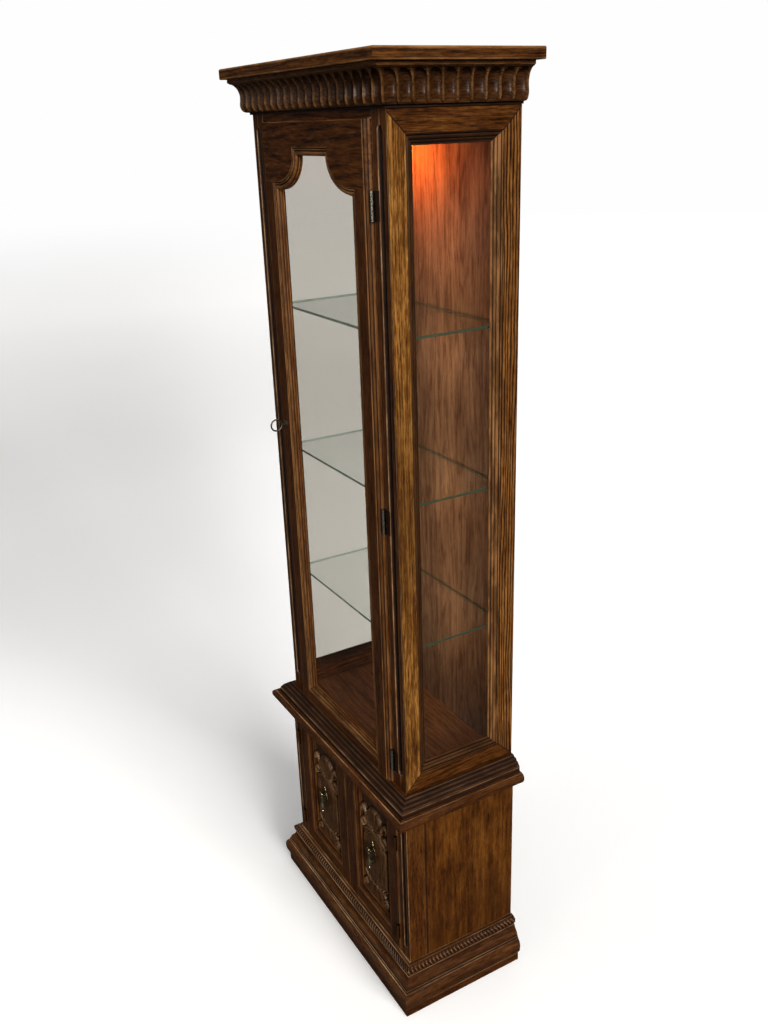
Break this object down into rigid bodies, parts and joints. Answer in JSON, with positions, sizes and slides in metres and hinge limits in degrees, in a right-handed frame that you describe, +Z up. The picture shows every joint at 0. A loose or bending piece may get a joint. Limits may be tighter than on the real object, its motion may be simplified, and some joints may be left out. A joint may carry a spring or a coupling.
{
  "type": "display cabinet",
  "caption": "Tall lit display case: moulded wooden tower with glazed sides and an arched glass door over glass shelves, and a panelled two-door cupboard base.",
  "frame": {"origin": "on the floor, under the middle of the outer box in plan", "axes": "+Z up, -Y out of the front doors, +X to the side that carries the glass door's hinges"},
  "size_m": [0.622, 0.33, 1.96],
  "materials": {
    "wood_stained": "dark stained oak, satin",
    "wood_panel": "stained oak veneer, satin",
    "clear_glass": "clear polished, green edge",
    "antique_brass": "dark antique brass",
    "dark_steel": "dark plated steel",
    "lamp_plastic": "moulded, matt",
    "lamp_glass": "warm frosted lamp glass",
    "cord_rubber": "black flexible cord"
  },
  "bodies": {
    "case": {"back_panel_lower": "wood_panel", "back_panel_upper": "wood_panel", "base_floor": "wood_panel", "base_hinge_left_lower_case": "dark_steel", "base_hinge_left_upper_case": "dark_steel", "base_hinge_right_lower_case": "dark_steel", "base_hinge_right_upper_case": "dark_steel", "base_rail": "wood_stained", "base_side_left": "wood_panel", "base_side_right": "wood_panel", "base_stile_left": "wood_stained", "base_stile_right": "wood_stained", "case_deck": "wood_panel", "case_top": "wood_panel", "crown_front": "wood_stained", "crown_left": "wood_stained", "crown_right": "wood_stained", "door_hinge_lower_case": "dark_steel", "door_hinge_middle_case": "dark_steel", "door_hinge_upper_case": "dark_steel", "face_rail": "wood_stained", "face_stile_left": "wood_stained", "face_stile_right": "wood_stained", "lamp_bulb": "lamp_glass", "lamp_socket": "lamp_plastic", "plinth_front": "wood_stained", "plinth_left": "wood_stained", "plinth_right": "wood_stained", "power_cord": "cord_rubber", "shelf_lower": "clear_glass", "shelf_middle": "clear_glass", "shelf_upper": "clear_glass", "side_frame_left": "wood_stained", "side_frame_right": "wood_stained", "side_glass_left": "clear_glass", "side_glass_right": "clear_glass", "top_board": "wood_stained", "waist_front": "wood_stained", "waist_left": "wood_stained", "waist_right": "wood_stained"},
    "glass_door": {"glass_door_frame": "wood_stained", "glass_door_pane": "clear_glass", "key_escutcheon": "antique_brass", "door_hinge_upper_door": "dark_steel", "door_hinge_middle_door": "dark_steel", "door_hinge_lower_door": "dark_steel"},
    "key": {"door_key": "antique_brass"},
    "left_base_door": {"base_door_left": "wood_stained", "base_panel_left": "wood_stained", "pull_plate_left": "antique_brass", "base_hinge_left_upper_door": "dark_steel", "base_hinge_left_lower_door": "dark_steel"},
    "right_base_door": {"base_door_right": "wood_stained", "base_panel_right": "wood_stained", "pull_plate_right": "antique_brass", "base_hinge_right_upper_door": "dark_steel", "base_hinge_right_lower_door": "dark_steel"},
    "left_drop": {"pull_drop_left": "antique_brass"},
    "right_drop": {"pull_drop_right": "antique_brass"}
  },
  "joints": [
    {"name": "glass_door_swing", "type": "hinge", "parent": "case", "child": "glass_door", "pos_m": [0.2185, -0.1225, 1.155], "axis": [0, 0, 1], "range_deg": [0, 110]},
    {"name": "key_turn", "type": "hinge", "parent": "glass_door", "child": "key", "pos_m": [-0.188, -0.128, 1.25], "axis": [0, -1, 0], "range_deg": [0, 90]},
    {"name": "right_base_door_swing", "type": "hinge", "parent": "case", "child": "right_base_door", "pos_m": [0.235, -0.1326, 0.3], "axis": [0, 0, 1], "range_deg": [0, 110]},
    {"name": "left_base_door_swing", "type": "hinge", "parent": "case", "child": "left_base_door", "pos_m": [-0.235, -0.1326, 0.3], "axis": [0, 0, -1], "range_deg": [0, 110]},
    {"name": "right_drop_swing", "type": "hinge", "parent": "right_base_door", "child": "right_drop", "pos_m": [0.11775, -0.1353, 0.321], "axis": [-1, 0, 0], "range_deg": [0, 75]},
    {"name": "left_drop_swing", "type": "hinge", "parent": "left_base_door", "child": "left_drop", "pos_m": [-0.11775, -0.1353, 0.321], "axis": [-1, 0, 0], "range_deg": [0, 75]}
  ]
}
